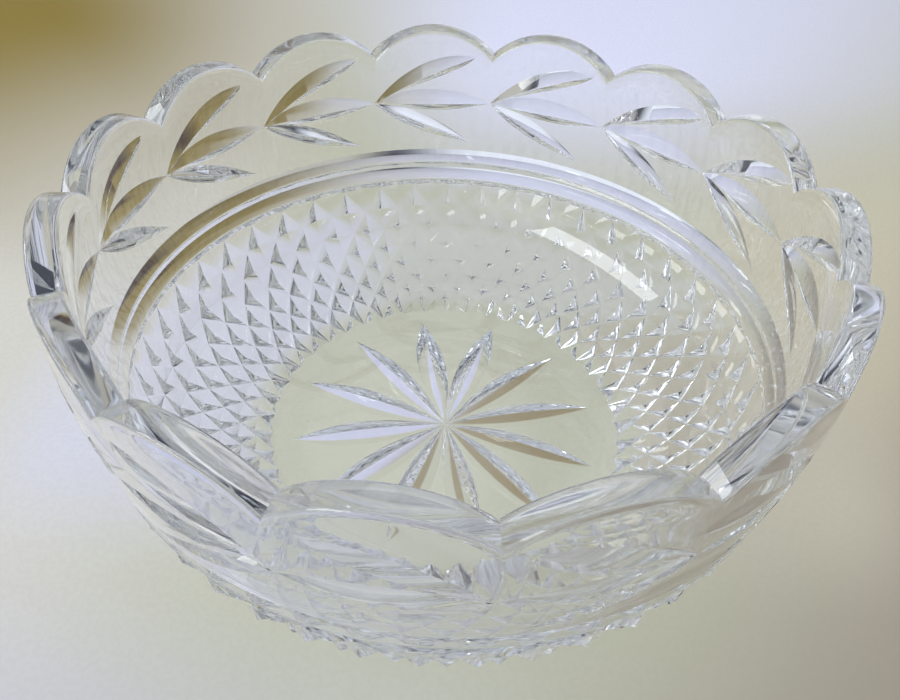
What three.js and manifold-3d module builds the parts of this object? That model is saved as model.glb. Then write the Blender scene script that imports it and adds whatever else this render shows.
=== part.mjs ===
// Crystal bowl: one piece of clear glass, cut on the outside.
// Scalloped rim, laurel sprigs, two mitred rings, a field of pointed diamonds and a star underneath.
// Millimetres, +Z up, origin at the middle of the flat base that the bowl stands on.
import * as THREE from 'three';
import { mergeVertices } from 'three/addons/utils/BufferGeometryUtils.js';
import Module from 'manifold-3d';

// Overall sizes
const RIM_RADIUS = 101.6;
const CUSP_HEIGHT = 88.1;
const SCALLOP_COUNT = 15;
const SCALLOP_RISE = 8.8;
const FIRST_CUSP_ANGLE = 12.3;

// How far the waist and the base lie inside the rim
const WAIST_DRAW_IN = 6.1;
const BASE_DRAW_IN = 45.2;
const WAIST_RADIUS = RIM_RADIUS - WAIST_DRAW_IN;
const BASE_RADIUS = RIM_RADIUS - BASE_DRAW_IN;

// Slopes of the outside, and how far each one carries along the curve
const RIM_PULL = 17.1;
const WAIST_LEAN = 9;
const WAIST_PULL_UP = 16.1;
const WAIST_PULL_DOWN = 20.3;
const BASE_LIFT = 29.9;
const BASE_PULL = 24.1;

// Glass thickness, and the curve of the inside
const RIM_WALL = 7.4;
const BAND_WALL = 7.3;
const BAND_HEIGHT = 48.9;
const FLOOR_HEIGHT = 17.8;
const RIM_BEVEL = 0.8;
const INSIDE_RIM_PULL = 16.1;
const INSIDE_LEAN = 10.5;
const INSIDE_PULL_UP = 9.3;
const INSIDE_PULL_DOWN = 22.2;
const FLOOR_PULL = 32;
const FLOOR_DRAW_IN = 16.4;

// Mitred rings round the waist, each a V groove
const UPPER_RING_TOP = 52.8;
const RINGS_RIDGE = 46.1;
const DIAMOND_TOP = 39.6;
const RING_DEPTH = 3.8;

// Diamond field
const DIAMOND_COUNT = 45;
const HALF_ROWS = 8;
const DIAMOND_DEPTH = 3.5;
const RUN_OUT_DEPTH = 1.4;

// Laurel sprigs: three leaves from each joint, which lies under a cusp
const JOINT_HEIGHT = 70.3;
const LEAF_ANGLE = 20.4;
const MIDDLE_LEAF_ANGLE = 24;
const UPPER_TIP_HEIGHT = 86.5;
const LOWER_TIP_HEIGHT = 55.6;
const LEAF_DEPTH = 3.1;
const LEAF_MITRE = 101;

// Star under the base, and the flat glass left round it
const STAR_RAYS = 12;
const STAR_MARGIN = 7.7;
const STAR_RADIUS = BASE_RADIUS - STAR_MARGIN;
const STAR_DEPTH = 2.2;
const STAR_MITRE = 110;

// Steps round the bowl and round a cutting wheel
const COLUMNS = 2 * DIAMOND_COUNT;
const RIM_COLUMNS = 2 * COLUMNS;
const WHEEL_STEP = 2;
const PITCH = 360 / SCALLOP_COUNT;

const wasm = await Module();
wasm.setup();

/** Point at an angle in degrees from the first cusp, a radius and a height. */
function polar(angle, radius, height) {
  const turn = THREE.MathUtils.degToRad(FIRST_CUSP_ANGLE + angle);
  return new THREE.Vector3(radius * Math.cos(turn), radius * Math.sin(turn), height);
}

/** Curve between two points [radius, height]; each pull is [length, degrees up from outwards]. */
function profile(from, pullFrom, to, pullTo) {
  const handle = ([radius, height], [length, slope]) => {
    const lift = THREE.MathUtils.degToRad(slope);
    return [radius + length * Math.cos(lift), height + length * Math.sin(lift)];
  };
  const points = [from, handle(from, pullFrom), handle(to, pullTo), to];
  return new THREE.CubicBezierCurve(...points.map(([r, z]) => new THREE.Vector2(r, z)));
}

const waist = [WAIST_RADIUS, DIAMOND_TOP];
const upperOutside = profile(
  [RIM_RADIUS, CUSP_HEIGHT], [RIM_PULL, -90], waist, [WAIST_PULL_UP, 90 - WAIST_LEAN]);
const lowerOutside = profile(
  waist, [WAIST_PULL_DOWN, -90 - WAIST_LEAN], [BASE_RADIUS, 0], [BASE_PULL, BASE_LIFT]);

const band = [wallRadius(BAND_HEIGHT) - BAND_WALL, BAND_HEIGHT];
const upperInside = profile(
  [RIM_RADIUS - RIM_WALL, CUSP_HEIGHT], [INSIDE_RIM_PULL, -90], band,
  [INSIDE_PULL_UP, 90 - INSIDE_LEAN]);
const lowerInside = profile(
  band, [INSIDE_PULL_DOWN, -90 - INSIDE_LEAN], [BASE_RADIUS - FLOOR_DRAW_IN, FLOOR_HEIGHT],
  [FLOOR_PULL, 0]);

/** Outside radius at a height on the upper wall, found by halving. */
function wallRadius(height) {
  if (height >= CUSP_HEIGHT) return RIM_RADIUS;
  let [low, high] = [0, 1];
  for (let i = 0; i < 40; i += 1) {
    const middle = (low + high) / 2;
    if (upperOutside.getPoint(middle).y > height) low = middle;
    else high = middle;
  }
  return upperOutside.getPoint(low).x;
}

/** Height of the scalloped edge at an angle: a circular arc from cusp to cusp. */
function rimHeight(angle) {
  const halfChord = RIM_RADIUS * Math.sin(THREE.MathUtils.degToRad(PITCH / 2));
  const arc = (halfChord ** 2 + SCALLOP_RISE ** 2) / (2 * SCALLOP_RISE);
  const fromMiddle = (((angle % PITCH) + PITCH) % PITCH) / PITCH * 2 - 1;
  return CUSP_HEIGHT + SCALLOP_RISE - arc + Math.sqrt(arc ** 2 - (fromMiddle * halfChord) ** 2);
}

/** Closed ring of points at one height, or at a height that follows the scallops. */
function ring(columns, radius, height) {
  return Array.from({ length: columns }, (_, i) => {
    const angle = (i * 360) / columns;
    return polar(angle, radius, typeof height === 'function' ? height(angle) : height);
  });
}

/** Rows of the diamond field, spaced so that every groove keeps the same slope. */
function diamondRows() {
  const steps = 400;
  const turned = [0];
  for (let i = 0; i < steps; i += 1) {
    const [a, b] = [lowerOutside.getPoint(i / steps), lowerOutside.getPoint((i + 1) / steps)];
    turned.push(turned[i] + a.distanceTo(b) / ((a.x + b.x) / 2));
  }
  return Array.from({ length: HALF_ROWS + 1 }, (_, row) => {
    const target = (turned[steps] * row) / HALF_ROWS;
    const at = turned.findIndex((value) => value >= target - 1e-9) / steps;
    const edge = row === 0 || row === HALF_ROWS;
    const depth = edge ? RUN_OUT_DEPTH : DIAMOND_DEPTH;
    const point = lowerOutside.getPoint(at);
    const slope = lowerOutside.getTangent(at);
    const inward = row === HALF_ROWS ? new THREE.Vector2(-1, 0) : new THREE.Vector2(slope.y, -slope.x);
    const sunk = point.clone().addScaledVector(inward, depth);
    return Array.from({ length: COLUMNS }, (__, column) => {
      const { x, y } = (row + column) % 2 === 0 ? sunk : point;
      return polar((column * 360) / COLUMNS, x, y);
    });
  });
}

/** All rings from the middle of the base up the outside, over the rim and down to the floor. */
function blankRings() {
  const mitre = (radius, height) => ring(COLUMNS, radius - RING_DEPTH, height);
  const wall = [0, 0.25, 0.5, 0.75, 1].map((part) => {
    const height = (angle) => UPPER_RING_TOP
      + part * (rimHeight(angle) - RIM_BEVEL - UPPER_RING_TOP);
    return Array.from({ length: RIM_COLUMNS }, (_, i) => {
      const angle = (i * 360) / RIM_COLUMNS;
      return polar(angle, wallRadius(height(angle)), height(angle));
    });
  });
  const inner = RIM_RADIUS - RIM_WALL;
  return [
    ...diamondRows().reverse(),
    mitre(wallRadius((DIAMOND_TOP + RINGS_RIDGE) / 2), (DIAMOND_TOP + RINGS_RIDGE) / 2),
    ring(COLUMNS, wallRadius(RINGS_RIDGE), RINGS_RIDGE),
    mitre(wallRadius((RINGS_RIDGE + UPPER_RING_TOP) / 2), (RINGS_RIDGE + UPPER_RING_TOP) / 2),
    ...wall,
    ring(RIM_COLUMNS, RIM_RADIUS - RIM_BEVEL, rimHeight),
    ring(RIM_COLUMNS, inner + RIM_BEVEL, rimHeight),
    ring(RIM_COLUMNS, inner, (angle) => rimHeight(angle) - RIM_BEVEL),
    ...[0, 0.4, 0.75].map((part) => upperInside.getPoint(part))
      .map(({ x, y }) => ring(COLUMNS, x, y)),
    ...[0, 0.15, 0.3, 0.44, 0.58, 0.72, 0.86, 1].map((part) => lowerInside.getPoint(part))
      .map(({ x, y }) => ring(COLUMNS, x, y)),
  ];
}

/** Closed skin over rings that run outwards and upwards, capped at both ends on the axis. */
function skin(rings) {
  const points = [];
  const triangle = (...corners) => corners.forEach((corner) => points.push(...corner.toArray()));
  const cap = (edge, height, turn) => edge.forEach((point, i) => {
    const next = edge[(i + 1) % edge.length];
    triangle(new THREE.Vector3(0, 0, height), ...(turn ? [point, next] : [next, point]));
  });
  cap(rings[0], rings[0][0].z, false);
  rings.slice(1).forEach((upper, k) => {
    const lower = rings[k];
    const [few, many] = [Math.min(lower.length, upper.length), Math.max(lower.length, upper.length)];
    for (let i = 0; i < few; i += 1) {
      const j = (i + 1) % few;
      if (few !== many) {
        const doubled = upper.length === many ? upper : lower;
        const [a, b, c] = [doubled[2 * i], doubled[2 * i + 1], doubled[(2 * i + 2) % many]];
        if (upper.length === many) {
          triangle(lower[i], b, a);
          triangle(lower[i], lower[j], b);
          triangle(lower[j], c, b);
        } else {
          triangle(a, b, upper[i]);
          triangle(b, upper[j], upper[i]);
          triangle(b, c, upper[j]);
        }
      } else if (k < HALF_ROWS && (HALF_ROWS - k + i) % 2 === 1) {
        triangle(lower[i], lower[j], upper[i]);
        triangle(lower[j], upper[j], upper[i]);
      } else {
        triangle(lower[i], lower[j], upper[j]);
        triangle(lower[i], upper[j], upper[i]);
      }
    }
  });
  const last = rings[rings.length - 1];
  cap(last, last[0].z, true);
  return new THREE.BufferGeometry()
    .setAttribute('position', new THREE.Float32BufferAttribute(points, 3));
}

/** Closed three.js geometry as a solid. */
function solid(geometry) {
  const bare = geometry.clone();
  bare.deleteAttribute('normal');
  bare.deleteAttribute('uv');
  const merged = mergeVertices(bare, 1e-3);
  return new wasm.Manifold(new wasm.Mesh({
    numProp: 3,
    vertProperties: merged.attributes.position.array,
    triVerts: new Uint32Array(merged.index.array),
  }));
}

/** Mitre-edged cutting wheel: a double cone whose rim draws a V from one point to another. */
function wheelCut(from, to, outward, depth, bulge, mitre) {
  const chord = to.clone().sub(from);
  const along = chord.clone().normalize();
  const up = outward.clone().addScaledVector(along, -outward.dot(along)).normalize();
  const below = depth - bulge;
  const radius = ((chord.length() / 2) ** 2 + below ** 2) / (2 * below);
  const half = radius * Math.tan(THREE.MathUtils.degToRad(mitre / 2));
  const segments = Math.round(360 / WHEEL_STEP);
  const wheel = new THREE.LatheGeometry(
    [new THREE.Vector2(0, -half), new THREE.Vector2(radius, 0), new THREE.Vector2(0, half)],
    segments);
  const axle = new THREE.Vector3().crossVectors(along, up);
  const centre = from.clone().add(to).multiplyScalar(0.5).addScaledVector(up, radius - below);
  wheel.applyMatrix4(new THREE.Matrix4().makeBasis(up, axle, along).setPosition(centre));
  return solid(wheel);
}

/** Leaf cut into the wall between two points given by angle and height. */
function leafCut(fromAngle, fromHeight, toAngle, toHeight) {
  const from = polar(fromAngle, wallRadius(fromHeight), fromHeight);
  const to = polar(toAngle, wallRadius(toHeight), toHeight);
  const middleAngle = (fromAngle + toAngle) / 2;
  const middleHeight = (fromHeight + toHeight) / 2;
  const onWall = polar(middleAngle, wallRadius(middleHeight), middleHeight);
  const bulge = onWall.distanceTo(from.clone().add(to).multiplyScalar(0.5));
  const outward = polar(middleAngle, 1, 0);
  return wheelCut(from, to, outward, LEAF_DEPTH, bulge, LEAF_MITRE);
}

let bowl = solid(skin(blankRings()));
for (let sprig = 0; sprig < SCALLOP_COUNT; sprig += 1) {
  const joint = sprig * PITCH;
  bowl = bowl
    .subtract(leafCut(joint, JOINT_HEIGHT, joint - LEAF_ANGLE, UPPER_TIP_HEIGHT))
    .subtract(leafCut(joint, JOINT_HEIGHT, joint - MIDDLE_LEAF_ANGLE, JOINT_HEIGHT))
    .subtract(leafCut(joint, JOINT_HEIGHT, joint - LEAF_ANGLE, LOWER_TIP_HEIGHT));
}
for (let ray = 0; ray < STAR_RAYS; ray += 1) {
  const tip = polar((ray * 360) / STAR_RAYS, STAR_RADIUS, 0);
  bowl = bowl.subtract(
    wheelCut(new THREE.Vector3(), tip, new THREE.Vector3(0, 0, -1), STAR_DEPTH, 0, STAR_MITRE));
}

const cut = bowl.getMesh();
const geometry = new THREE.BufferGeometry()
  .setAttribute('position', new THREE.Float32BufferAttribute(cut.vertProperties, 3))
  .setIndex(new THREE.BufferAttribute(cut.triVerts, 1));
geometry.computeVertexNormals();

const glass = new THREE.MeshStandardMaterial({ color: 0xeef1f2, roughness: 0.03, metalness: 0 });
const mesh = new THREE.Mesh(geometry, glass);
mesh.name = 'bowl';

const crystalBowl = new THREE.Group();
crystalBowl.add(mesh);

export default crystalBowl;
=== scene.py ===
"""Cut crystal bowl with a scalloped rim, in clear lead glass on a pale table.

The bowl is one piece of glass. Its skin is worked out ring by ring, from the middle of the base
up the outside, over the rim and down the inside to the floor. Lengths are millimetres until the
mesh is made, angles are degrees counted anticlockwise from the first cusp.
"""

import logging
from dataclasses import dataclass, field
from enum import Enum
from typing import Any, ClassVar

import bpy
import numpy as np
from mathutils import Matrix, Vector


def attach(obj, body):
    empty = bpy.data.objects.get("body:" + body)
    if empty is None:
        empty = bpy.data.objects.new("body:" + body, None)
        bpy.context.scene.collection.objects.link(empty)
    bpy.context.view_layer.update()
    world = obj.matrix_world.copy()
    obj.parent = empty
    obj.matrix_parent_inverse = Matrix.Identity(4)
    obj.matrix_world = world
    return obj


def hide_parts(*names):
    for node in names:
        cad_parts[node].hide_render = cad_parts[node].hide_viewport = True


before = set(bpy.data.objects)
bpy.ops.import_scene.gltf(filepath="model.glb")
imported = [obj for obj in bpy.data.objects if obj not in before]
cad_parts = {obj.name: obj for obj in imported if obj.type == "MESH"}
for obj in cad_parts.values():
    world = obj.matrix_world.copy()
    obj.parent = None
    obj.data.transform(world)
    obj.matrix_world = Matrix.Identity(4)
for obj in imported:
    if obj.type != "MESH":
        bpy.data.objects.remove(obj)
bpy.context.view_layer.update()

logging.basicConfig(level=logging.INFO, format="%(message)s")
LOG = logging.getLogger("crystal_bowl")

MM = 0.001
TURN = 360.0
TINY = 1e-6

# Degrees from the x axis to the first cusp and from cusp to cusp; columns round the cut wall and
# their angles.
FIRST_CUSP = 12.3
SCALLOPS = 15
PITCH = TURN / SCALLOPS
FINE = 60 * SCALLOPS
FINE_ANGLES = np.arange(FINE) * TURN / FINE

# A value is a wire, a number, a colour or an array, a span is where something starts and ends,
# a way gives a direction by its shares of east and north, and a point is a radius and a height.
Value = Any
Colour = tuple[float, float, float]
Span = tuple[float, float]
Way = tuple[float, float]
Point = tuple[float, float]


# Shader nodes


class Wire:
    """A node's output, which Python operators combine with others through Math nodes."""

    def __init__(self, graph: "Graph", end: Value) -> None:
        """Wraps one output.

        Args:
            graph: The node graph that new nodes go into.
            end: The output socket, or None for a node that has none.
        """
        self.graph = graph
        self.end = end

    def _math(self, operation: str, *values: Value) -> "Wire":
        """Math node on the values, in order.

        Args:
            operation: The Math node's operation.
            values: Wires or numbers.

        Returns:
            The node's result.
        """
        sockets = {i: value for i, value in enumerate(values)}
        return self.graph.node("ShaderNodeMath", {"operation": operation}, sockets)

    def __add__(self, other: Value) -> "Wire":
        """Sum."""
        return self._math("ADD", self, other)

    def __radd__(self, other: Value) -> "Wire":
        """Sum, reflected."""
        return self._math("ADD", other, self)

    def __sub__(self, other: Value) -> "Wire":
        """Difference."""
        return self._math("SUBTRACT", self, other)

    def __rsub__(self, other: Value) -> "Wire":
        """Difference, reflected."""
        return self._math("SUBTRACT", other, self)

    def __mul__(self, other: Value) -> "Wire":
        """Product."""
        return self._math("MULTIPLY", self, other)

    def __rmul__(self, other: Value) -> "Wire":
        """Product, reflected."""
        return self._math("MULTIPLY", other, self)

    def __truediv__(self, other: Value) -> "Wire":
        """Quotient."""
        return self._math("DIVIDE", self, other)

    def __rtruediv__(self, other: Value) -> "Wire":
        """Quotient, reflected."""
        return self._math("DIVIDE", other, self)

    def __pow__(self, other: Value) -> "Wire":
        """Power."""
        return self._math("POWER", self, other)

    def __rpow__(self, other: Value) -> "Wire":
        """Power, reflected."""
        return self._math("POWER", other, self)

    def above(self, low: float, high: float) -> "Wire":
        """Smooth step from 0 at low to 1 at high.

        Args:
            low: Value where the step starts.
            high: Value where it is complete.

        Returns:
            The step, between 0 and 1.
        """
        settings = {"interpolation_type": "SMOOTHSTEP"}
        sockets = {0: self, 1: low, 2: high, 3: 0.0, 4: 1.0}
        return self.graph.node("ShaderNodeMapRange", settings, sockets)


def opaque(colour: Colour) -> tuple[float, float, float, float]:
    """The colour with full alpha."""
    return (*colour, 1.0)


class Graph:
    """Node graph of one material or world."""

    def __init__(self, owner: Value) -> None:
        """Empties the owner's graph.

        Args:
            owner: A material or world.
        """
        owner.use_nodes = True
        self.tree = owner.node_tree
        self.tree.nodes.clear()

    def node(
        self, kind: str, settings: dict[str, Value], sockets: dict[Any, Value], out: Value = 0
    ) -> Wire:
        """One node with its settings, then its sockets.

        Args:
            kind: The node's type name.
            settings: Attributes, set before the sockets.
            sockets: Values or wires by socket name or number.
            out: Name or number of the output to return.

        Returns:
            The chosen output.
        """
        made = self.tree.nodes.new(kind)
        for name, value in settings.items():
            setattr(made, name, value)
        for key, value in sockets.items():
            if isinstance(value, Wire):
                self.tree.links.new(value.end, made.inputs[key])
            else:
                made.inputs[key].default_value = value
        if not made.outputs:
            return Wire(self, None)
        return Wire(self, made.outputs[out])

    def blend(self, factor: Value, first: Value, second: Value) -> Wire:
        """Colour between two colours.

        Args:
            factor: 0 gives the first and 1 the second.
            first: Colour or wire.
            second: Colour or wire.

        Returns:
            The mixed colour.
        """
        ends = (end if isinstance(end, Wire) else opaque(end) for end in (first, second))
        sockets = dict(zip((0, 6, 7), (factor, *ends)))
        return self.node("ShaderNodeMix", {"data_type": "RGBA"}, sockets, 2)

    def noise(self, place: Wire, scale: float, detail: float = 2.0) -> Wire:
        """Noise between 0 and 1.

        Args:
            place: Object coordinates.
            scale: How many waves lie in a metre.
            detail: How many finer layers it has.

        Returns:
            The noise.
        """
        sockets = {"Vector": place, "Scale": scale, "Detail": detail}
        return self.node("ShaderNodeTexNoise", {}, sockets)


@dataclass(frozen=True)
class CrystalFinish:
    """Polished lead crystal: colourless, very clear, with fine wear where it stands.

    Light on its way to the table passes through a faint tint, as it does through real glass, and
    through a stronger one where it meets the glass at a slant.
    """

    slot: ClassVar[str] = "crystal"
    tint: Colour = (0.985, 0.99, 0.992)
    shadow_tint: Colour = (0.985, 0.987, 0.99)
    edge_tint: Colour = (0.91, 0.915, 0.92)
    slant: Span = (0.08, 0.75)
    index: float = 1.6
    polish: float = 0.018
    haze: float = 0.012
    haze_scale: float = 90.0
    haze_detail: float = 4.0
    haze_span: Span = (0.45, 0.8)
    wear: float = 0.22
    wear_height: float = 0.0006
    scuff_scale: float = 900.0
    scuff_detail: float = 3.0
    scuff_span: Span = (0.5, 0.62)

    def make(self) -> bpy.types.Material:
        """Glass with polishing marks in its roughness and scuffs where the bowl stands.

        Returns:
            The material.
        """
        material = bpy.data.materials.new("lead_crystal")
        graph = Graph(material)
        place = graph.node("ShaderNodeTexCoord", {}, {}, "Object")
        height = graph.node("ShaderNodeSeparateXYZ", {}, {0: place}, "Z")
        haze = graph.noise(place, self.haze_scale, self.haze_detail).above(*self.haze_span)
        scuffs = graph.noise(place, self.scuff_scale, self.scuff_detail)
        standing = 1 - height.above(0.0, self.wear_height)
        worn = standing * scuffs.above(*self.scuff_span)
        roughness = self.polish + haze * self.haze + worn * self.wear
        glass = graph.node(
            "ShaderNodeBsdfPrincipled",
            {},
            {
                "Base Color": opaque(self.tint),
                "Roughness": roughness,
                "IOR": self.index,
                "Transmission Weight": 1.0,
            },
        )
        clear, dim = (
            graph.node("ShaderNodeBsdfTransparent", {}, {0: opaque(tint)})
            for tint in (self.shadow_tint, self.edge_tint)
        )
        slope = graph.node("ShaderNodeLayerWeight", {}, {"Blend": 0.5}, "Facing")
        slanting = slope.above(*self.slant)
        passed = graph.node("ShaderNodeMixShader", {}, {0: slanting, 1: clear, 2: dim})
        shadow = graph.node("ShaderNodeLightPath", {}, {}, "Is Shadow Ray")
        diffuse = graph.node("ShaderNodeLightPath", {}, {}, "Is Diffuse Ray")
        both = graph.node("ShaderNodeMixShader", {}, {0: shadow + diffuse, 1: glass, 2: passed})
        graph.node("ShaderNodeOutputMaterial", {}, {"Surface": both})
        return material


@dataclass(frozen=True)
class Ground:
    """Where a point of the table lies, as wires in metres from the bowl's axis.

    The sway is a slow noise that bends the edges between tones, the reach is the distance with
    somewhat more of it, and the lean is how far left of straight back the point lies.
    """

    drift_scale: ClassVar[float] = 3.0
    sway_size: ClassVar[float] = 0.03
    reach_size: ClassVar[float] = 0.04
    east: Wire
    north: Wire
    away: Wire
    sway: Wire
    reach: Wire
    lean: Wire

    @classmethod
    def read(cls, graph: Graph, place: Wire) -> "Ground":
        """Works out the wires.

        Args:
            graph: The table's graph.
            place: Object coordinates.

        Returns:
            The wires.
        """
        east, north = (graph.node("ShaderNodeSeparateXYZ", {}, {0: place}, name) for name in "XY")
        drift = graph.noise(place, cls.drift_scale) - 0.5
        away = (east * east + north * north) ** 0.5
        sway = drift * cls.sway_size
        reach = away + drift * cls.reach_size
        return cls(east, north, away, sway, reach, (0.0 - east) / north + sway)

    def towards(self, way: Way) -> Wire:
        """Distance from the axis along a way, with the sway."""
        return self.east * way[0] + self.north * way[1] + self.sway


@dataclass(frozen=True)
class TableFinish:
    """Matt table top, light in tone, coloured mostly by painted light and shade: creamy and
    lighter with painted light on the left, yellower under the bowl, bluish in a painted shade on
    the near side, darker in a painted shade at the front right, bluish white in painted window
    light at the back, and dark yellow-brown in a painted shade at the back left, which darkens far
    off into a deeper painted shade. Close to the bowl painted light is cooler on one side and
    warmer on the other, and under the base lies painted light and shade for the light that the cut
    star gathers.

    Spans are in metres, but shares for the lean and the noise. A pair of spans is one of the lean
    and one of the reach.
    """

    middle: Colour = (0.57, 0.57, 0.43)
    # Painted light: a lighter, creamy tone on the left.
    painted_light_cream: Colour = (0.66, 0.64, 0.57)
    painted_light_cream_way: Way = (-1.0, 0.0)
    painted_light_cream_edge: Span = (0.04, 0.13)
    warm: Colour = (0.65, 0.59, 0.44)
    warm_way: Way = (1.0, 0.0)
    warm_edge: Span = (0.09, 0.15)
    warm_back: Span = (0.06, 0.3)
    # Painted shade: bluish and darker on the near side.
    painted_blue_shade: Colour = (0.51, 0.52, 0.66)
    painted_blue_shade_way: Way = (-0.2, -0.9)
    painted_blue_shade_edge: Span = (0.05, 0.17)
    # Painted shade at the front right; the grain also darkens a little towards this tone.
    painted_shade: Colour = (0.34, 0.30, 0.24)
    painted_shade_way: Way = (0.75, -0.6)
    painted_shade_edge: Span = (0.05, 0.16)
    # Painted light and shade in a ring round the foot, and where it lies.
    ring_inner: Span = (0.057, 0.066)
    ring_outer: Span = (0.12, 0.16)
    ring_front: Span = (-0.06, -0.01)
    ring_back: Span = (0.04, 0.065)
    painted_cool_light: Colour = (0.68, 0.68, 0.74)
    painted_cool_light_edge: Span = (-0.02, 0.05)
    painted_milky_light: Colour = (0.62, 0.62, 0.55)
    painted_milky_light_edge: Span = (-0.05, -0.02)
    painted_khaki_light: Colour = (0.56, 0.52, 0.41)
    painted_khaki_light_edge: Span = (0.0, 0.06)
    shadow: Colour = (0.34, 0.28, 0.16)
    gleam: Colour = (0.66, 0.66, 0.80)
    gleam_tilt: float = 0.9
    gleam_edge: Span = (-0.004, 0.004)
    ray_slope: float = 0.22
    ray_edge: Span = (0.0, 0.0006)
    # Painted window light at the back.
    painted_window_light: Colour = (0.81, 0.82, 0.99)
    painted_window_light_back: Span = (0.12, 0.30)
    painted_window_light_right: Span = (-1.3, -0.3)
    painted_window_light_left: Span = (-0.1, 0.35)
    # Painted shade at the back left.
    painted_olive_shade: Colour = (0.27, 0.20, 0.045)
    painted_olive_shade_near: tuple[Span, Span] = ((0.12, 0.78), (0.12, 0.42))
    painted_olive_shade_far: tuple[Span, Span] = ((0.18, 0.5), (0.42, 0.6))
    painted_olive_shade_back: Span = (0.02, 0.08)
    painted_olive_shade_left: Span = (1.6, 2.8)
    # Deeper painted shade, far off at the back left.
    painted_deep_shade: Colour = (0.05, 0.018, 0.005)
    painted_deep_shade_far: tuple[Span, Span] = ((0.72, 1.0), (0.46, 0.6))
    grain: float = 0.07
    grain_scale: float = 620.0
    grain_span: Span = (0.35, 0.65)
    roughness: float = 0.55
    specular: float = 0.2

    def wide(self, graph: Graph, at: Ground) -> Wire:
        """Painted light and shade across the table: creamy and lighter on the left, warm on the
        right, bluish and darker on the near side, darker still at the front right.

        Args:
            graph: The table's graph.
            at: Where the point lies.

        Returns:
            The colour.
        """
        # Painted light: lighter on the left.
        painted_light_cream = at.towards(self.painted_light_cream_way).above(*self.painted_light_cream_edge)
        warm = at.towards(self.warm_way).above(*self.warm_edge)
        warm = warm * (1 - at.north.above(*self.warm_back))
        # Painted shade: bluish and darker on the near side.
        painted_blue_shade = at.towards(self.painted_blue_shade_way).above(*self.painted_blue_shade_edge)
        # Painted shade: darker at the front right.
        painted_shade = at.towards(self.painted_shade_way).above(*self.painted_shade_edge)
        colour = graph.blend(painted_light_cream, self.middle, self.painted_light_cream)
        for mask, tone in ((warm, self.warm), (painted_blue_shade, self.painted_blue_shade), (painted_shade, self.painted_shade)):
            colour = graph.blend(mask, colour, tone)
        return colour

    def ring(self, graph: Graph, at: Ground, colour: Wire) -> Wire:
        """Painted light and shade in a ring round the foot: cooler on the left, milky behind and
        yellowish brown on the right.

        Args:
            graph: The table's graph.
            at: Where the point lies.
            colour: Colour under the ring.

        Returns:
            The colour with the ring.
        """
        # Painted light and shade round the foot.
        ring = at.away.above(*self.ring_inner) * (1 - at.away.above(*self.ring_outer))
        ring = ring * at.north.above(*self.ring_front)
        back = at.north.above(*self.ring_back)
        painted_cool_light = ring * (0.0 - at.east).above(*self.painted_cool_light_edge)
        painted_milky_light = ring * back * at.east.above(*self.painted_milky_light_edge)
        painted_khaki_light = ring * at.east.above(*self.painted_khaki_light_edge) * (1 - back)
        for mask, tone in ((painted_cool_light, self.painted_cool_light), (painted_milky_light, self.painted_milky_light), (painted_khaki_light, self.painted_khaki_light)):
            colour = graph.blend(mask, colour, tone)
        return colour

    def star(self, graph: Graph, at: Ground, colour: Wire) -> Wire:
        """Light and shade under the rays of the star: at r from the middle a ray reaches to both
        sides by the slope times r (1 - r / R), where R is the star's radius.

        Args:
            graph: The table's graph.
            at: Where the point lies.
            colour: Colour under the star.

        Returns:
            The colour with the star.
        """
        cell = TURN / StarBase.rays
        turn = graph.node("ShaderNodeMath", {"operation": "ARCTAN2"}, {0: at.north, 1: at.east})
        rays = turn * (TURN / (2 * np.pi) / cell) - FIRST_CUSP / cell
        fold = graph.node("ShaderNodeMath", {"operation": "PINGPONG"}, {0: rays, 1: 0.5})
        aside = fold * float(np.radians(cell)) * at.away
        half = at.away * (1 - at.away * (1 / (StarBase.radius * MM))) * self.ray_slope
        under = (half - aside).above(*self.ray_edge)
        lit = (at.north * self.gleam_tilt - at.east).above(*self.gleam_edge)
        return graph.blend(under, colour, graph.blend(lit, self.shadow, self.gleam))

    def back(self, graph: Graph, at: Ground, colour: Wire) -> Wire:
        """Painted window light, bluish white, at the back, and a dark yellow-brown painted shade
        at the back left, which darkens far off into a deeper painted shade.

        Args:
            graph: The table's graph.
            at: Where the point lies.
            colour: Colour of the rest.

        Returns:
            The colour with both.
        """
        # Painted window light at the back.
        painted_window_light = at.north.above(*self.painted_window_light_back) * at.lean.above(*self.painted_window_light_right)
        painted_window_light = painted_window_light * (1 - at.lean.above(*self.painted_window_light_left))
        # Painted shade at the back left, which darkens far off into a deeper painted shade.
        near, far, painted_deep_shade_mask = (
            at.lean.above(*lean) * at.reach.above(*reach)
            for lean, reach in (self.painted_olive_shade_near, self.painted_olive_shade_far, self.painted_deep_shade_far)
        )
        painted_olive_shade = at.north.above(*self.painted_olive_shade_back) * (1 - (1 - near) * (1 - far))
        painted_olive_shade = painted_olive_shade * (1 - at.lean.above(*self.painted_olive_shade_left))
        for mask, tone in ((painted_window_light, self.painted_window_light), (painted_olive_shade, self.painted_olive_shade), (painted_olive_shade * painted_deep_shade_mask, self.painted_deep_shade)):
            colour = graph.blend(mask, colour, tone)
        return colour

    def make(self) -> bpy.types.Material:
        """Slow changes of tone under a fine grain.

        Returns:
            The material.
        """
        material = bpy.data.materials.new("cream_table")
        graph = Graph(material)
        place = graph.node("ShaderNodeTexCoord", {}, {}, "Object")
        at = Ground.read(graph, place)
        colour = self.wide(graph, at)
        for lay in (self.ring, self.star, self.back):
            colour = lay(graph, at, colour)
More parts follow.
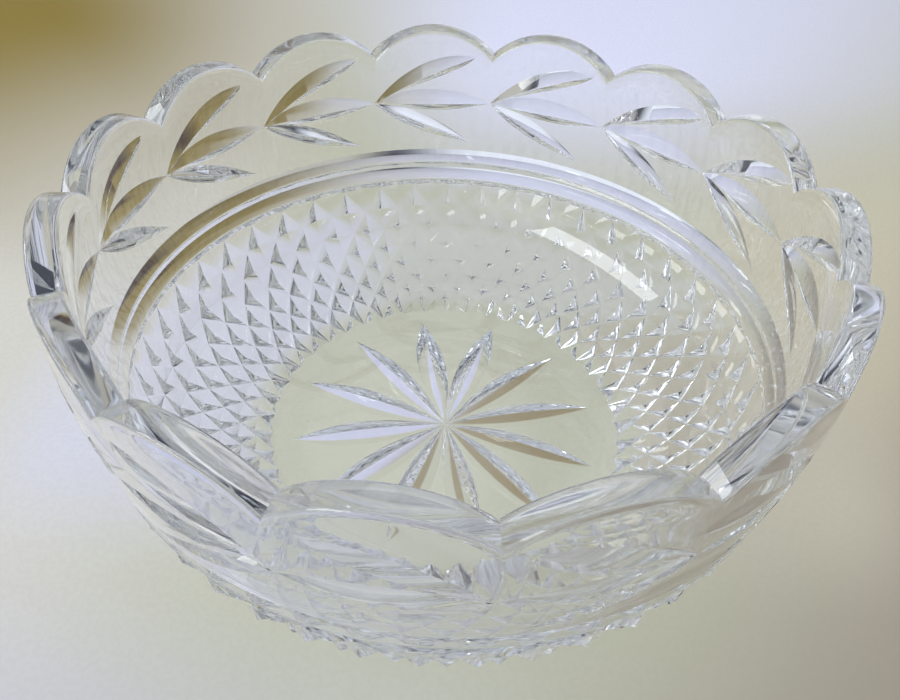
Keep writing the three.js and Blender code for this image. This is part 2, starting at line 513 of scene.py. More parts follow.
        # Fine grain of the table's own, which darkens the colour a little towards the painted
        # shade's tone.
        grain = graph.noise(place, self.grain_scale).above(*self.grain_span)
        surface = graph.node(
            "ShaderNodeBsdfPrincipled",
            {},
            {
                "Base Color": graph.blend(grain * self.grain, colour, self.painted_shade),
                "Roughness": self.roughness,
                "Specular IOR Level": self.specular,
            },
        )
        graph.node("ShaderNodeOutputMaterial", {}, {"Surface": surface})
        return material


# Shape


class Side(Enum):
    """Which side of the glass a profile belongs to."""

    OUTSIDE = "outside"
    INSIDE = "inside"


@dataclass(frozen=True)
class Profile:
    """Radius and height along the outside and the inside of the wall, as joined cubic curves.

    A cubic is the sum of its four corners weighted by (1-t)^3, 3t(1-t)^2, 3t^2(1-t) and t^3. Its
    two inner corners are its bends. Those of the wall say how far they lie past the radius of the
    rim and that of the waist, and the inner and the floor bend have a height and a radius only.
    """

    rim_radius: float = 101.6
    rim_wall: float = 7.4
    cusp_height: float = 88.1
    waist: Point = (95.5, 39.6)
    base_radius: float = 56.4
    shoulder: Point = (89.8, 48.9)
    floor: Point = (40.0, 17.8)
    wall_bends: tuple[Point, Point] = ((0.3, 71.0), (2.4, 55.0))
    bowl_bends: tuple[Point, Point] = ((92.1, 19.1), (77.3, 12.0))
    inner_bend: float = 72.0
    shoulder_bend: Point = (91.6, 58.0)
    hollow_bend: Point = (86.0, 27.0)
    floor_bend: float = 72.0

    def cubic(self, corners: list[Point], steps: int = 240) -> np.ndarray:
        """Points on one cubic.

        Args:
            corners: Four corners as radius and height.
            steps: Number of points.

        Returns:
            Array of radius and height, one row a point.
        """
        t = np.linspace(0.0, 1.0, steps)[:, None]
        a, b, c, d = (np.array(corner) for corner in corners)
        return a * (1 - t) ** 3 + b * 3 * t * (1 - t) ** 2 + c * 3 * t**2 * (1 - t) + d * t**3

    def upper(self, side: Side) -> np.ndarray:
        """The wall from the cusps down to the waist or shoulder.

        Args:
            side: Outside or inside.

        Returns:
            Points from the top down.
        """
        if side is Side.OUTSIDE:
            radii = (self.rim_radius, self.waist[0])
            bends = [(r + past, height) for r, (past, height) in zip(radii, self.wall_bends)]
            return self.cubic([(self.rim_radius, self.cusp_height), *bends, self.waist])
        inner = self.rim_radius - self.rim_wall
        bends = [(inner, self.inner_bend), self.shoulder_bend]
        return self.cubic([(inner, self.cusp_height), *bends, self.shoulder])

    def lower(self, side: Side) -> np.ndarray:
        """The wall from the waist to the base, or from the shoulder to the floor.

        Args:
            side: Outside or inside.

        Returns:
            Points from the top down.
        """
        if side is Side.OUTSIDE:
            return self.cubic([self.waist, *self.bowl_bends, (self.base_radius, 0.0)])
        bends = [self.hollow_bend, (self.floor_bend, self.floor[1])]
        return self.cubic([self.shoulder, *bends, self.floor])

    def radius(self, side: Side, height: np.ndarray) -> np.ndarray:
        """Radius of the upper wall at a height, straight up above the cusps.

        Args:
            side: Outside or inside.
            height: Heights.

        Returns:
            Radii.
        """
        points = self.upper(side)[::-1]
        return np.interp(height, points[:, 1], points[:, 0])


@dataclass
class Skin:
    """Closed skin made of rings of points and the triangles between them."""

    points: list[np.ndarray] = field(default_factory=list)
    faces: list[np.ndarray] = field(default_factory=list)
    count: int = 0

    def ring(self, angle: Value, radius: Value, height: Value) -> np.ndarray:
        """Adds a ring: x and y are the radius times the cosine and sine of the angle.

        Args:
            angle: Angles in degrees.
            radius: Radius, one or many.
            height: Height, one or many.

        Returns:
            The new points' numbers.
        """
        angle, radius, height = np.broadcast_arrays(np.atleast_1d(angle), radius, height)
        turn = np.radians(angle + FIRST_CUSP)
        self.points.append(np.stack([radius * np.cos(turn), radius * np.sin(turn), height], -1))
        self.count += angle.size
        return np.arange(self.count - angle.size, self.count)

    def strip(self, lower: np.ndarray, upper: np.ndarray) -> None:
        """Joins two rings of one length: each square becomes two triangles.

        Args:
            lower: Numbers of the ring below, or further in on the base.
            upper: Numbers of the ring above.
        """
        a, b = lower, np.roll(lower, -1)
        d, c = upper, np.roll(upper, -1)
        self.faces += [np.stack([a, b, c], 1), np.stack([a, c, d], 1)]

    def zipped(self, lower: np.ndarray, upper: np.ndarray) -> None:
        """Joins two rings of any lengths: their points are sorted by angle, and each point
        makes one triangle with the last point of the other ring before it.

        Args:
            lower: Numbers of the ring below.
            upper: Numbers of the ring above.
        """
        every = np.concatenate(self.points)
        sides, middles = [], []
        for ring in (lower, upper):
            turn = np.arctan2(every[ring, 1], every[ring, 0]) % (2 * np.pi)
            order = np.argsort(turn)
            turn = turn[order]
            sides.append(ring[order])
            middles.append(turn + np.diff(turn, append=turn[0] + 2 * np.pi) / 2)
        low, high = sides
        own = np.repeat([0, 1], [len(low), len(high)])
        own = own[np.argsort(np.concatenate(middles), kind="stable")]
        at_low = (np.cumsum(own == 0) - (own == 0)) % len(low)
        at_high = (np.cumsum(own == 1) - (own == 1)) % len(high)
        next_low, next_high = (at_low + 1) % len(low), (at_high + 1) % len(high)
        third = np.where(own == 0, low[next_low], high[next_high])
        self.faces.append(np.stack([low[at_low], third, high[at_high]], 1))

    def cap(self, ring: np.ndarray, height: float, up: bool) -> None:
        """Closes a ring with a fan to a point on the axis.

        Args:
            ring: Numbers of the ring.
            height: Height of the point on the axis.
            up: True if the fan faces up.
        """
        middle = np.full(ring.shape, self.ring(0.0, 0.0, height)[0])
        ends = (ring, np.roll(ring, -1))
        self.faces.append(np.stack([middle, *(ends if up else ends[::-1])], 1))

    def stack(self, rings: list[np.ndarray]) -> None:
        """Joins rings in order, by strips where their lengths agree.

        Args:
            rings: Rings from below to above.
        """
        for lower, upper in zip(rings, rings[1:]):
            (self.strip if lower.size == upper.size else self.zipped)(lower, upper)

    def mesh(self, name: str) -> bpy.types.Mesh:
        """The skin as a mesh in metres.

        Args:
            name: The mesh's name.

        Returns:
            The mesh.
        """
        points = np.concatenate(self.points) * MM
        faces = np.concatenate(self.faces)
        mesh = bpy.data.meshes.new(name)
        mesh.vertices.add(len(points))
        mesh.vertices.foreach_set("co", points.astype(np.float32).ravel())
        mesh.loops.add(faces.size)
        mesh.loops.foreach_set("vertex_index", faces.astype(np.int32).ravel())
        mesh.polygons.add(len(faces))
        mesh.polygons.foreach_set("loop_start", np.arange(0, faces.size, 3, dtype=np.int32))
        mesh.update(calc_edges=True)
        mesh.validate()
        return mesh


def lens(along: np.ndarray, peak: float, sharpness: float) -> np.ndarray:
    """Outline of a mitre cut: (s/p)^(mp) times ((1-s)/(1-p))^(m(1-p)), which is 1 at s = p.

    Args:
        along: Place along the cut, 0 to 1.
        peak: Where the cut is widest.
        sharpness: How slender its ends are.

    Returns:
        Width as a share of the widest.
    """
    s = np.clip(along, 0.0, 1.0)
    rise = (s / peak) ** (sharpness * peak)
    fall = ((1 - s) / (1 - peak)) ** (sharpness * (1 - peak))
    return rise * fall


@dataclass(frozen=True)
class Flank:
    """One side of a leaf: how far it reaches from the vein, where along the leaf it is widest,
    and how slender its ends are.
    """

    width: float
    peak: float
    sharpness: float

    def reach(self, along: np.ndarray) -> np.ndarray:
        """Width at a place along the leaf.

        Args:
            along: Place along the leaf, 0 to 1.

        Returns:
            Distance from the vein to the edge.
        """
        return self.width * lens(along, self.peak, self.sharpness)


@dataclass(frozen=True)
class Leaf:
    """One leaf of a sprig, from the joint to its tip.

    The vein runs from the joint to the tip, straight or in a parabola that lifts its middle by
    the arch. Its depth keeps step with the width above it, so that the facet above the vein keeps
    one slope. Past the tip its line eases back to the height of the joint, over at least the
    shortest way back.
    """

    shortest_back: ClassVar[float] = 0.1

    turn: float
    rise: float
    above: Flank
    below: Flank
    arch: float = 0.0
    depth: float = 3.1

    def vein(self, angle: np.ndarray) -> tuple[np.ndarray, np.ndarray, np.ndarray]:
        """Place along the leaf, height of the vein over the joint and its depth.

        Args:
            angle: Degrees clockwise from the joint.

        Returns:
            Place from 0 to 1, height and depth.
        """
        along = angle / self.turn
        way_back = max(PITCH - self.turn, self.shortest_back)
        back = np.clip((angle - self.turn) / way_back, 0, 1)
        part = np.clip(along, 0, 1)
        height = self.rise * part * (1 - back**2 * (3 - 2 * back))
        height = height + self.arch * 4 * part * (1 - part)
        return along, height, self.depth * self.above.reach(along) / self.above.width


@dataclass
class LaurelBand:
    """Plain wall between the mitred rings and the rim, cut with one laurel sprig a scallop."""

    profile: Profile
    bottom: float = 52.8
    joint: float = 70.3
    leaves: tuple[Leaf, ...] = (
        Leaf(20.4, 16.2, Flank(4.5, 0.48, 1.7), Flank(2.6, 0.66, 2.2), 1.2),
        Leaf(24.0, 0.0, Flank(4.6, 0.47, 1.8), Flank(3.1, 0.54, 3.0)),
        Leaf(20.4, -14.7, Flank(2.8, 0.45, 2.0), Flank(3.5, 0.42, 2.2)),
    )
    spacing: float = 0.07
    soft: float = 0.26
    soft_share: float = 0.33
    gaps: tuple[int, ...] = (8, 3, 3, 5)

    def vein(self, cut: list[np.ndarray], upper: np.ndarray, lower: np.ndarray) -> list[Value]:
        """Three lines that round the bottom of a cut: one on each flank, no further from the vein
        than a share of the flank, and the vein itself, lifted by half of what lies between.

        Args:
            cut: Height and depth of the vein and reach of both flanks.
            upper: How far the flank above reaches here.
            lower: How far the flank below reaches here.

        Returns:
            Heights and depths of the three lines, from the top down.
        """
        height, depth, *flanks = cut
        asides = [np.minimum(self.soft, reach * self.soft_share) for reach in (upper, lower)]
        depths = [
            depth * np.clip(1 - aside / np.maximum(flank, TINY), 0, 1)
            for aside, flank in zip(asides, flanks)
        ]
        middle = (depth + sum(depths) / 2) / 2
        (up, down), (at_up, at_down) = asides, depths
        return [(height + up, at_up), (height, middle), (height - down, at_down)]

    def crest(self, upper: list[np.ndarray], lower: list[np.ndarray]) -> tuple[np.ndarray, ...]:
        """Where the lower flank of one cut and the upper flank of the cut below it end: each at
        its own edge, or both in the crest where they cross.

        Args:
            upper: Height and depth of the upper cut's vein and reach of both its flanks.
            lower: The same of the lower cut.

        Returns:
            Height of the end of the upper cut, that of the lower cut, and their depth.
        """
        slope_a = upper[1] / np.maximum(upper[3], TINY)
        slope_b = lower[1] / np.maximum(lower[2], TINY)
        foot, head = upper[0] - upper[3], lower[0] + lower[2]
        meet = lower[1] - upper[1] + slope_a * upper[0] + slope_b * lower[0]
        meet = meet / np.maximum(slope_a + slope_b, TINY)
        crossing = foot < head
        depth = np.where(crossing, upper[1] - slope_a * (upper[0] - meet), 0.0)
        depth = np.clip(depth, 0.0, np.minimum(upper[1], lower[1]))
        return np.where(crossing, meet, foot), np.where(crossing, meet, head), depth

    def fill(self, marks: np.ndarray) -> np.ndarray:
        """Rows from mark to mark: one step inside a leaf, and as many as the gaps say between
        the rim, the leaves and the band's lower edge.

        Args:
            marks: Height and depth of each mark, one row a mark.

        Returns:
            Height and depth of each row.
        """
        leaf = [1, 1, 1, 1]
        counts = [self.gaps[0]]
        for gap in self.gaps[1:]:
            counts += [*leaf, gap]
        rows = [marks[:1]]
        for start, end, steps in zip(marks, marks[1:], counts):
            part = (np.arange(1, steps + 1) / steps)[:, None, None]
            rows.append(start * (1 - part) + end * part)
        return np.concatenate(rows)

    def rows(self, rim: np.ndarray) -> tuple[np.ndarray, np.ndarray]:
        """Heights and depths of the band's rows, from the top down.

        Each leaf gives five lines: its upper edge, three round its vein and its lower edge. Where
        the edges of two leaves would cross, both follow the crest in which their flanks meet.

        Args:
            rim: Height of the band's upper edge, one for each fine column.

        Returns:
            Heights and depths, one row a line.
        """
        clockwise = (-np.arange(FINE) % (FINE // SCALLOPS)) * TURN / FINE
        cuts = []
        for leaf in self.leaves:
            along, height, depth = leaf.vein(clockwise)
            sides = (side.reach(along) for side in (leaf.above, leaf.below))
            cuts.append([self.joint + height, depth, *sides])
        zero = np.zeros(FINE)
        heads, feet = [(cuts[0][0] + cuts[0][2], zero)], []
        for upper, lower in zip(cuts, cuts[1:]):
            foot, head, depth = self.crest(upper, lower)
            feet.append((foot, depth))
            heads.append((head, depth))
        feet.append((cuts[-1][0] - cuts[-1][3], zero))
        lines = []
        for cut, head, foot in zip(cuts, heads, feet):
            lines += [head, *self.vein(cut, head[0] - cut[0], cut[0] - foot[0]), foot]
        marks = np.stack([(rim, zero), *lines, (np.full(FINE, self.bottom), zero)])
        heights = marks[1:-1, 0]
        middle = len(heights) // 2
        for i in range(middle - 1, -1, -1):
            heights[i] = np.maximum(heights[i], heights[i + 1] + self.spacing)
        for i in range(middle + 1, len(heights)):
            heights[i] = np.minimum(heights[i], heights[i - 1] - self.spacing)
        rows = self.fill(marks)
        return rows[:, 0], rows[:, 1]

    def build(self, skin: Skin, rim: np.ndarray) -> list[np.ndarray]:
        """Adds the band's rings.

        Args:
            skin: The skin.
            rim: Height of the band's upper edge, one for each fine column.

        Returns:
            Rings from below to above.
        """
        heights, depths = self.rows(rim)
        return [
            skin.ring(FINE_ANGLES, self.profile.radius(Side.OUTSIDE, z) - d, z)
            for z, d in zip(heights[::-1], depths[::-1])
        ]


@dataclass
class ScallopedRim:
    """Rim whose edge rises in an arc from cusp to cusp, with both corners rounded."""

    profile: Profile
    rise: float = 8.8
    rounding: float = 0.9
    steps: int = 4

    def height(self) -> np.ndarray:
        """Height of the edge: a circular arc over each scallop, h = top - a + sqrt(a^2 - x^2).

        Returns:
            One height for each fine column.
        """
        half = self.profile.rim_radius * np.sin(np.radians(PITCH / 2))
        arc = (half**2 + self.rise**2) / (2 * self.rise)
        across = (FINE_ANGLES % PITCH) / PITCH * 2 - 1
        top = self.profile.cusp_height + self.rise
        return top - arc + np.sqrt(arc**2 - (across * half) ** 2)

    def build(self, skin: Skin) -> list[np.ndarray]:
        """Adds the rings over the rim: a quarter circle, the flat top, a quarter circle.

        Args:
            skin: The skin.

        Returns:
            Rings from the outside to the inside.
        """
        edge, outer = self.height(), self.profile.rim_radius
        inner = outer - self.profile.rim_wall
        quarter = np.linspace(0, np.pi / 2, self.steps + 1)[1:]
        rings = []
        for corner, way, turns in ((outer, -1, quarter), (inner, 1, quarter[::-1])):
            for turn in turns:
                radius = corner + way * self.rounding * (1 - np.cos(turn))
                drop = self.rounding * (1 - np.sin(turn))
                rings.append(skin.ring(FINE_ANGLES, radius, edge - drop))
        return rings


@dataclass
class MitredRings:
    """Two V grooves round the waist, side by side, with polished round bottoms."""

    profile: Profile
    top: float = 52.8
    ridge: float = 46.1
    bottom: float = 39.6
    depth: float = 3.8
    soft: float = 0.5
    steps: int = 7

    def groove(self, low: float, high: float) -> tuple[np.ndarray, np.ndarray]:
        """Bottom of one groove: an arc of radius s that touches both flanks, at height middle +
        s sin(t) and depth d - s / cos(lean) + s cos(t), for t from -lean to lean.

        Args:
            low: Height of the groove's lower edge.
            high: Height of its upper edge.

        Returns:
            Heights and depths, from below.
        """
        lean = np.arctan2(self.depth, (high - low) / 2)
        turn = np.linspace(-lean, lean, self.steps)
        depth = self.depth - self.soft / np.cos(lean) + self.soft * np.cos(turn)
        return (low + high) / 2 + self.soft * np.sin(turn), depth

    def build(self, skin: Skin) -> list[np.ndarray]:
        """Adds the bottom of the lower groove, the ridge and the bottom of the upper.

        Args:
            skin: The skin.

        Returns:
            Rings from below to above.
        """
        low, low_depth = self.groove(self.bottom, self.ridge)
        high, high_depth = self.groove(self.ridge, self.top)
        heights = np.concatenate([low, [self.ridge], high])
        depths = np.concatenate([low_depth, [0.0], high_depth])
        radii = self.profile.radius(Side.OUTSIDE, heights) - depths
        return [skin.ring(FINE_ANGLES, r, z) for r, z in zip(radii, heights)]


@dataclass
class DiamondField:
    """Field of pointed diamonds between crossing V grooves that all climb at one slope.

    Row j of column c lies at a crossing where j + c is even and at a point where it is odd. Each
    line between neighbours carries one more point, where the polish that rounds the grooves ends.
    """

    profile: Profile
    round_bowl: int = 45
    half_rows: int = 8
    depth: float = 3.1
    run_out: float = 1.4
    soft: float = 0.075
    lift: float = 0.14
    wander: float = 0.22
    seed: int = 5

    def facets(self, skin: Skin, own: np.ndarray, side: np.ndarray, down: np.ndarray) -> None:
        """Adds the four-sided points and the narrow strips along the grooves between them. Of a
        triangle P, Q, R with q on PQ and r on PR, the facet is P, q, r and the strip is the rest.

        Args:
            skin: The skin.
            own: Numbers of the crossings and points.
            side: Numbers of the points on the lines from each column to the next.
            down: Numbers of the points on the lines from each row to the one below.
        """
        even = np.indices(down.shape).sum(axis=0) % 2 == 0
        a, b = own[1:], np.roll(own[1:], -1, axis=1)
        d, c = own[:-1], np.roll(own[:-1], -1, axis=1)
        left, right, top, low = down, np.roll(down, -1, axis=1), side[:-1], side[1:]
        pairs = (
            ((a, b, d, low, left), (b, c, a, right, low)),
            ((c, d, b, top, right), (d, a, c, left, top)),
        )
        for first, second in pairs:
            p, q, r, on_q, on_r = (np.where(even, x, y).ravel() for x, y in zip(first, second))
            shapes = ((p, on_q, on_r), (on_q, q, r), (on_q, r, on_r))
            faces = np.concatenate([np.stack(shape, 1) for shape in shapes])
            whole = (faces != np.roll(faces, 1, axis=1)).all(axis=1)
            skin.faces.append(faces[whole])

    def strayed(self, cuts: np.ndarray, line: np.ndarray) -> np.ndarray:
        """Mean wander of the cuts on both sides of a line.

        Args:
            cuts: Degrees by which each cut of one direction wanders.
            line: Number of the line, whole on a cut and half between two.

        Returns:
            Degrees, one for each line.
        """
        sides = (np.floor(line), np.ceil(line))
        return sum(cuts[side.astype(int) % self.round_bowl] for side in sides) / 2

    def net(self, row: np.ndarray, column: np.ndarray) -> tuple[np.ndarray, np.ndarray]:
        """Angle and row of each crossing and point: both cuts through it wander, and carry it
        round by their mean and down by half their difference, but not off the first or last row.

        Args:
            row: Its row, from the top.
            column: Its column.

        Returns:
            Degrees and rows.
        """
        columns = 2 * self.round_bowl
        pick = np.random.default_rng(self.seed)
        left, right = pick.normal(0, self.wander, (2, self.round_bowl))
        shift_a = self.strayed(left, (column - row) / 2)
        shift_b = self.strayed(right, (column + row) / 2)
        inside = (row > 0) & (row < self.half_rows)
        angle = column * TURN / columns + (shift_a + shift_b) / 2
        return angle, row + np.where(inside, (shift_b - shift_a) / 2 * columns / TURN, 0.0)

    def on_wall(self, rows: np.ndarray) -> list[np.ndarray]:
        """Places on the plain wall, where each row has the same length over its radius.

        Args:
            rows: Row of each place, whole or not.

        Returns:
            Radius and height, and both parts of the inward direction.
        """
        curve = self.profile.lower(Side.OUTSIDE)
        legs = np.hypot(*np.diff(curve, axis=0).T)
        middle = (curve[1:, 0] + curve[:-1, 0]) / 2
        turned = np.concatenate([[0], np.cumsum(legs / middle)])
        target = rows / self.half_rows * turned[-1]
        slope = np.gradient(curve, axis=0)
        slope /= np.hypot(*slope.T)[:, None]
        values = (*curve.T, slope[:, 1], -slope[:, 0])
        return [np.interp(target, turned, value) for value in values]

    def build(self, skin: Skin) -> list[np.ndarray]:
        """Adds the crossings and points row by row, then the points on the lines between them.

        Args:
            skin: The skin.

        Returns:
            Rings from the base up.
        """
        row, column = np.indices((self.half_rows + 1, 2 * self.round_bowl), dtype=float)
        angle, moved = self.net(row, column)
        radius, height, inward_r, inward_z = self.on_wall(moved)
        inside, last = (row > 0) & (row < self.half_rows), row == self.half_rows
        inward_r, inward_z = np.where(last, -1.0, inward_r), np.where(last, 0.0, inward_z)
        crossing = (row + column) % 2 == 0
        sunk = np.where(crossing, np.where(inside, self.depth, self.run_out), 0.0)
        lift = np.where(crossing & inside, self.lift, 0.0)
        places = np.stack([angle, radius + inward_r * sunk, height + inward_z * sunk])
        lifted = places - np.stack([0 * lift, inward_r * lift, inward_z * lift])
        own = np.stack([skin.ring(*line) for line in lifted.swapaxes(0, 1)])
        share = np.where(crossing, self.soft, 1 - self.soft)
        beside = np.roll(places, -1, axis=2)
        beside[0, :, -1] += TURN
        across = (places * (1 - share) + beside * share)[:, 1:-1]
        side = np.where(crossing, own, np.roll(own, -1, axis=1))
        side[1:-1] = np.stack([skin.ring(*line) for line in across.swapaxes(0, 1)])
        below = places[:, :-1] * (1 - share[:-1]) + places[:, 1:] * share[:-1]
        down = np.stack([skin.ring(*line) for line in below.swapaxes(0, 1)])
        self.facets(skin, own, side, down)
        return list(own[::-1])


@dataclass
class StarBase:
    """Flat base with a star of mitre-cut rays that meet in the middle.

    A ray's least half width, and the least land from it to midway between rays, are in degrees.
    The centre is the height of the middle point, and the margin the plain ring round the star.
    """

    rays: int = 12
    radius: float = 48.7
    width: float = 4.7
    depth: float = 2.9
    peak: float = 0.54
    sharpness: float = 2.3
    narrowest: float = 0.5
    land: float = 0.6
    soft: float = 0.2
    soft_share: float = 0.3
    centre: float = 0.15
    margin: float = 3.0
    steps: int = 30

    def build(self, skin: Skin) -> list[np.ndarray]:
        """Adds rings from the middle out. Each ray has its rounded bottom and two edges on a ring,
        and one point lies midway between rays; the edges stand at width over radius.

        Args:
            skin: The skin.

        Returns:
            Rings from the middle out.
        """
        along = np.linspace(0, 1, self.steps + 1)[1:]
        share = lens(along, self.peak, self.sharpness)
        half = np.degrees(share * self.width / (along * self.radius))
        cell = TURN / self.rays
        edge = np.clip(half, self.narrowest, cell / 2 - self.land)
        soft = np.degrees(self.soft / (along * self.radius))
        soft = np.minimum(soft, edge * self.soft_share)
        deep = self.depth * share
        crest, lip = (
            deep * np.clip(1 - aside / np.maximum(half, TINY), 0, 1) for aside in (edge, soft)
        )
        start = np.arange(self.rays)[:, None] * cell
        zero = np.zeros_like(along)
        turns = np.stack([zero, soft, edge, zero + cell / 2, cell - edge, cell - soft])
        lifts = np.stack([(deep + lip) / 2, lip, crest, crest, crest, lip])
        rings = []
        for part, turn, lift in zip(along, turns.T, lifts.T):
            every = start + turn
            lift = np.broadcast_to(lift, every.shape)
            rings.append(skin.ring(every.ravel(), part * self.radius, lift.ravel()))
        outer = start + np.arange(len(turns)) * cell / len(turns)
        rings.append(skin.ring(outer.ravel(), self.radius + self.margin, 0.0))
        return rings


@dataclass
class Interior:
    """Smooth inside of the bowl, from the rim to the floor.

    The fine rows have the rim's columns and end some way above the shoulder. The coarse rows
    start a step below them and end a step above the shoulder.
    """

    profile: Profile
    columns: int = 300
    fine_rows: int = 6
    fine_end: float = 12.0
    coarse_rows: int = 8
    step: float = 1.0
    lower_rows: int = 30
    floor_shares: tuple[float, float] = (0.66, 0.33)

    def build(self, skin: Skin, edge: np.ndarray) -> list[np.ndarray]:
        """Adds the inside: rows first share out the height between the scallops and the shoulder,
        then follow the curve to the floor.

        Args:
            skin: The skin.
            edge: Height where the rim's rounding ends, one for each fine column.

        Returns:
            Rings from the rim down.
        """
        shoulder = self.profile.shoulder[1]
        low = shoulder + self.fine_end
        rings = []
        for part in np.linspace(0, 1, self.fine_rows):
            height = edge * (1 - part) + low * part
            radius = self.profile.radius(Side.INSIDE, height)
            rings.append(skin.ring(FINE_ANGLES, radius, height))
        coarse = np.arange(self.columns) * TURN / self.columns
        for height in np.linspace(low - self.step, shoulder + self.step, self.coarse_rows):
            rings.append(skin.ring(coarse, self.profile.radius(Side.INSIDE, height), height))
        curve = self.profile.lower(Side.INSIDE)
        for k in np.linspace(0, len(curve) - 1, self.lower_rows).astype(int):
            rings.append(skin.ring(coarse, *curve[k]))
        radius, height = self.profile.floor
        return rings + [skin.ring(coarse, radius * share, height) for share in self.floor_shares]


@dataclass
class CrystalBowl:
    """The whole bowl: one closed piece of glass."""

    name: str = "crystal_bowl"
    crease: float = 24.0
    finish: CrystalFinish = CrystalFinish()

    def skin(self) -> Skin:
        """Works out every part of the skin and joins them from the base to the floor.

        Returns:
            The closed skin.
        """
        profile, base, skin = Profile(), StarBase(), Skin()
        rim = ScallopedRim(profile)
        edge = rim.height() - rim.rounding
        star = base.build(skin)
        diamonds = DiamondField(profile).build(skin)
        waist = MitredRings(profile).build(skin)
        band = LaurelBand(profile).build(skin, edge)
        top = rim.build(skin)
        inside = Interior(profile).build(skin, edge)
        skin.cap(star[0], base.centre, False)
        skin.stack([*star, diamonds[0]])
        skin.stack([diamonds[-1], *waist, *band, *top, *inside])
        skin.cap(inside[-1], profile.floor[1], True)
        return skin

    def build(self) -> bpy.types.Object:
        """Builds, dresses and seats the bowl.

        Returns:
            The bowl's object.
        """
        mesh = self.skin().mesh(self.name)
        mesh.polygons.foreach_set("use_smooth", np.ones(len(mesh.polygons), bool))
        mesh.set_sharp_from_angle(angle=np.radians(self.crease))
        mesh.materials.append(self.finish.make())
        bowl = bpy.data.objects.new(self.name, mesh)
        bpy.context.scene.collection.objects.link(bowl)
        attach(bowl, "root")
        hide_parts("bowl")
        LOG.info("%s: %d triangles", self.name, len(mesh.polygons))
        return bowl


# Studio


@dataclass(frozen=True)
class Softbox:
    """One soft lamp: where it hangs, how large and how bright it is, and whether the glass
    mirrors it. It faces the middle of the bowl.
    """

    name: str
    place: tuple[float, float, float]
    size: tuple[float, float]
    watts: float
    colour: Colour
    mirrored: bool = True
    target: ClassVar[tuple[float, float, float]] = (0.0, 0.0, 0.05)

    def build(self) -> bpy.types.Object:
        """Area lamp that faces the bowl.

        Returns:
            The lamp's object.
        """
        data = bpy.data.lights.new(self.name, "AREA")
        data.shape = "RECTANGLE"
        data.size, data.size_y = self.size
        data.energy, data.color = self.watts, self.colour
        lamp = bpy.data.objects.new(self.name, data)
        lamp.location = self.place
        towards = Vector(self.target) - Vector(self.place)
        lamp.rotation_euler = towards.to_track_quat("-Z", "Y").to_euler()
        lamp.visible_glossy = lamp.visible_transmission = self.mirrored
        bpy.context.scene.collection.objects.link(lamp)
        return lamp


@dataclass(frozen=True)
class Patch:
    """Round light part of the room: where its middle lies, how far from it its edge starts and
    ends, all in degrees, and its colour.
    """

    azimuth: float
    height: float
    inner: float
    outer: float
    colour: Colour

    def lay(self, graph: Graph, axes: tuple[Wire, Wire, Wire], under: Value) -> Wire:
        """Blends the patch over what is there, by the cosine of the angle from its middle.

        Args:
            graph: The world's graph.
            axes: The direction's three parts.
            under: Colour under the patch.

        Returns:
            The colour with the patch.
        """
        turn, lift = np.radians((self.azimuth, self.height))
        middle = (np.cos(lift) * np.cos(turn), np.cos(lift) * np.sin(turn), np.sin(lift))
        close = sum(axis * float(part) for axis, part in zip(axes, middle))
        low, high = (float(np.cos(np.radians(width))) for width in (self.outer, self.inner))
        return graph.blend(close.above(low, high), under, self.colour)


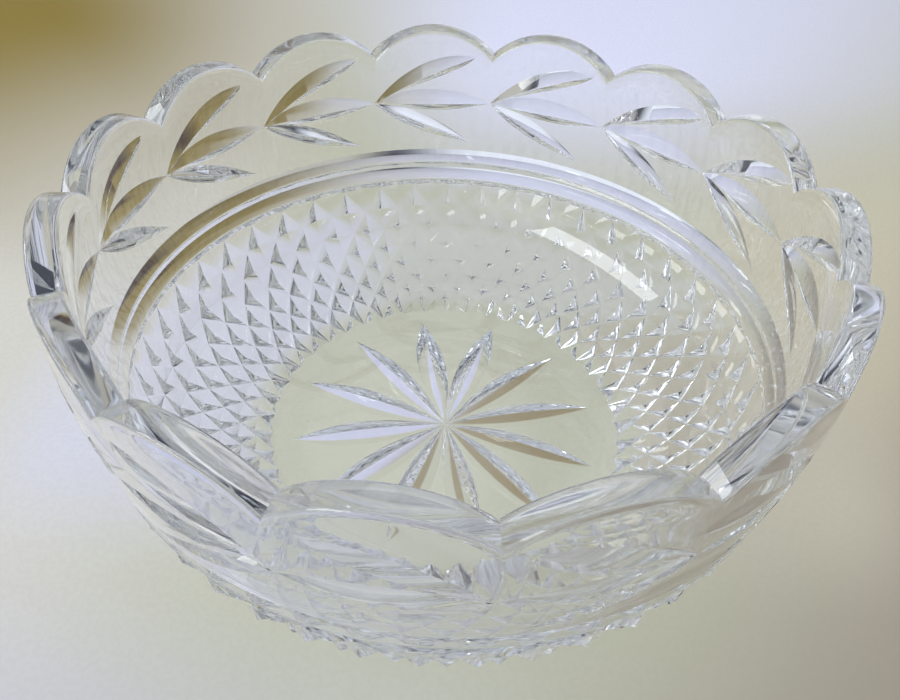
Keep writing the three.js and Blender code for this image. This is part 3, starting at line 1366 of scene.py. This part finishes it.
@dataclass
class Studio:
    """Table, lamps, surroundings and camera.

    The table lies just under the bowl, so that no face of one lies in a face of the other. The
    bounces are as many as the light in the thick rim takes.
    """

    table_x: Span = (-4.0, 4.0)
    table_y: Span = (-2.0, 4.0)
    table_z: float = -0.0002
    focal: float = 33.96
    sensor: float = 36.0
    nearest: float = 0.01
    eye: tuple[float, float, float] = (0.0003, -0.18345, 0.2102)
    tilt: float = 42.7
    roll: float = 3.1
    bounces: int = 48
    glossy_bounces: int = 40
    glass_bounces: int = 32
    clear_bounces: int = 16
    lamps: tuple[Softbox, ...] = (
        Softbox("window_left", (-0.79, -0.288, 0.784), (1.00, 0.34), 5.6, (0.90, 0.95, 1.0)),
        Softbox("overhead", (0.3, 0.3, 5.0), (5.3, 5.3), 166.0, (1.0, 0.98, 0.97), False),
    )
    room: Colour = (0.045, 0.05, 0.065)
    patches: tuple[Patch, ...] = (
        Patch(0.0, 90.0, 18.0, 42.0, (0.50, 0.55, 0.62)),
        Patch(245.0, 18.0, 11.0, 22.0, (0.82, 0.90, 1.02)),
        Patch(50.0, 42.0, 12.0, 26.0, (0.66, 0.73, 0.88)),
        Patch(96.0, 47.0, 6.0, 12.0, (0.95, 1.00, 1.10)),
        Patch(78.0, 1.0, 9.0, 19.0, (0.85, 0.90, 1.02)),
        Patch(110.0, 2.0, 8.0, 14.0, (0.50, 0.49, 0.45)),
        Patch(132.0, 2.0, 8.0, 14.0, (0.38, 0.37, 0.33)),
    )

    def table(self) -> bpy.types.Object:
        """Flat table top under the bowl: one rectangle with a corner at each pair of x and y.

        Returns:
            The table's object.
        """
        (west, east), (south, north) = self.table_x, self.table_y
        corners = [(west, south), (east, south), (east, north), (west, north)]
        mesh = bpy.data.meshes.new("table_top")
        mesh.from_pydata([(*corner, self.table_z) for corner in corners], [], [range(4)])
        mesh.materials.append(TableFinish().make())
        table = bpy.data.objects.new("table_top", mesh)
        bpy.context.scene.collection.objects.link(table)
        return table

    def surroundings(self) -> None:
        """Dark, even room with a few soft light patches."""
        world = bpy.data.worlds.new("room")
        bpy.context.scene.world = world
        graph = Graph(world)
        way = graph.node("ShaderNodeTexCoord", {}, {}, "Generated")
        axes = tuple(graph.node("ShaderNodeSeparateXYZ", {}, {0: way}, name) for name in "XYZ")
        colour: Value = self.room
        for patch in self.patches:
            colour = patch.lay(graph, axes, colour)
        light = graph.node("ShaderNodeBackground", {}, {0: colour, 1: 1.0})
        graph.node("ShaderNodeOutputWorld", {}, {"Surface": light})

    def camera(self) -> bpy.types.Object:
        """Camera at the photograph's place: tilted down, then rolled about its own axis.

        Returns:
            The camera's object.
        """
        data = bpy.data.cameras.new("camera")
        data.lens, data.sensor_width, data.clip_start = self.focal, self.sensor, self.nearest
        camera = bpy.data.objects.new("camera", data)
        down = Matrix.Rotation(np.radians(90 - self.tilt), 4, "X")
        turn = Matrix.Rotation(np.radians(self.roll), 4, "Z")
        camera.matrix_world = Matrix.Translation(self.eye) @ down @ turn
        bpy.context.scene.collection.objects.link(camera)
        bpy.context.scene.camera = camera
        return camera

    def build(self) -> None:
        """Sets up the whole studio."""
        self.camera()
        self.table()
        for lamp in self.lamps:
            lamp.build()
        self.surroundings()
        bpy.context.scene.view_settings.view_transform = "Standard"
        paths = bpy.context.scene.cycles
        paths.max_bounces, paths.glossy_bounces = self.bounces, self.glossy_bounces
        paths.transmission_bounces = self.glass_bounces
        paths.transparent_max_bounces = self.clear_bounces
        paths.caustics_reflective = paths.caustics_refractive = False
        LOG.info("studio: %d lamps", len(self.lamps))


def main() -> None:
    """Builds the studio and the bowl in order."""
    Studio().build()
    CrystalBowl().build()


if __name__ == "__main__":
    main()
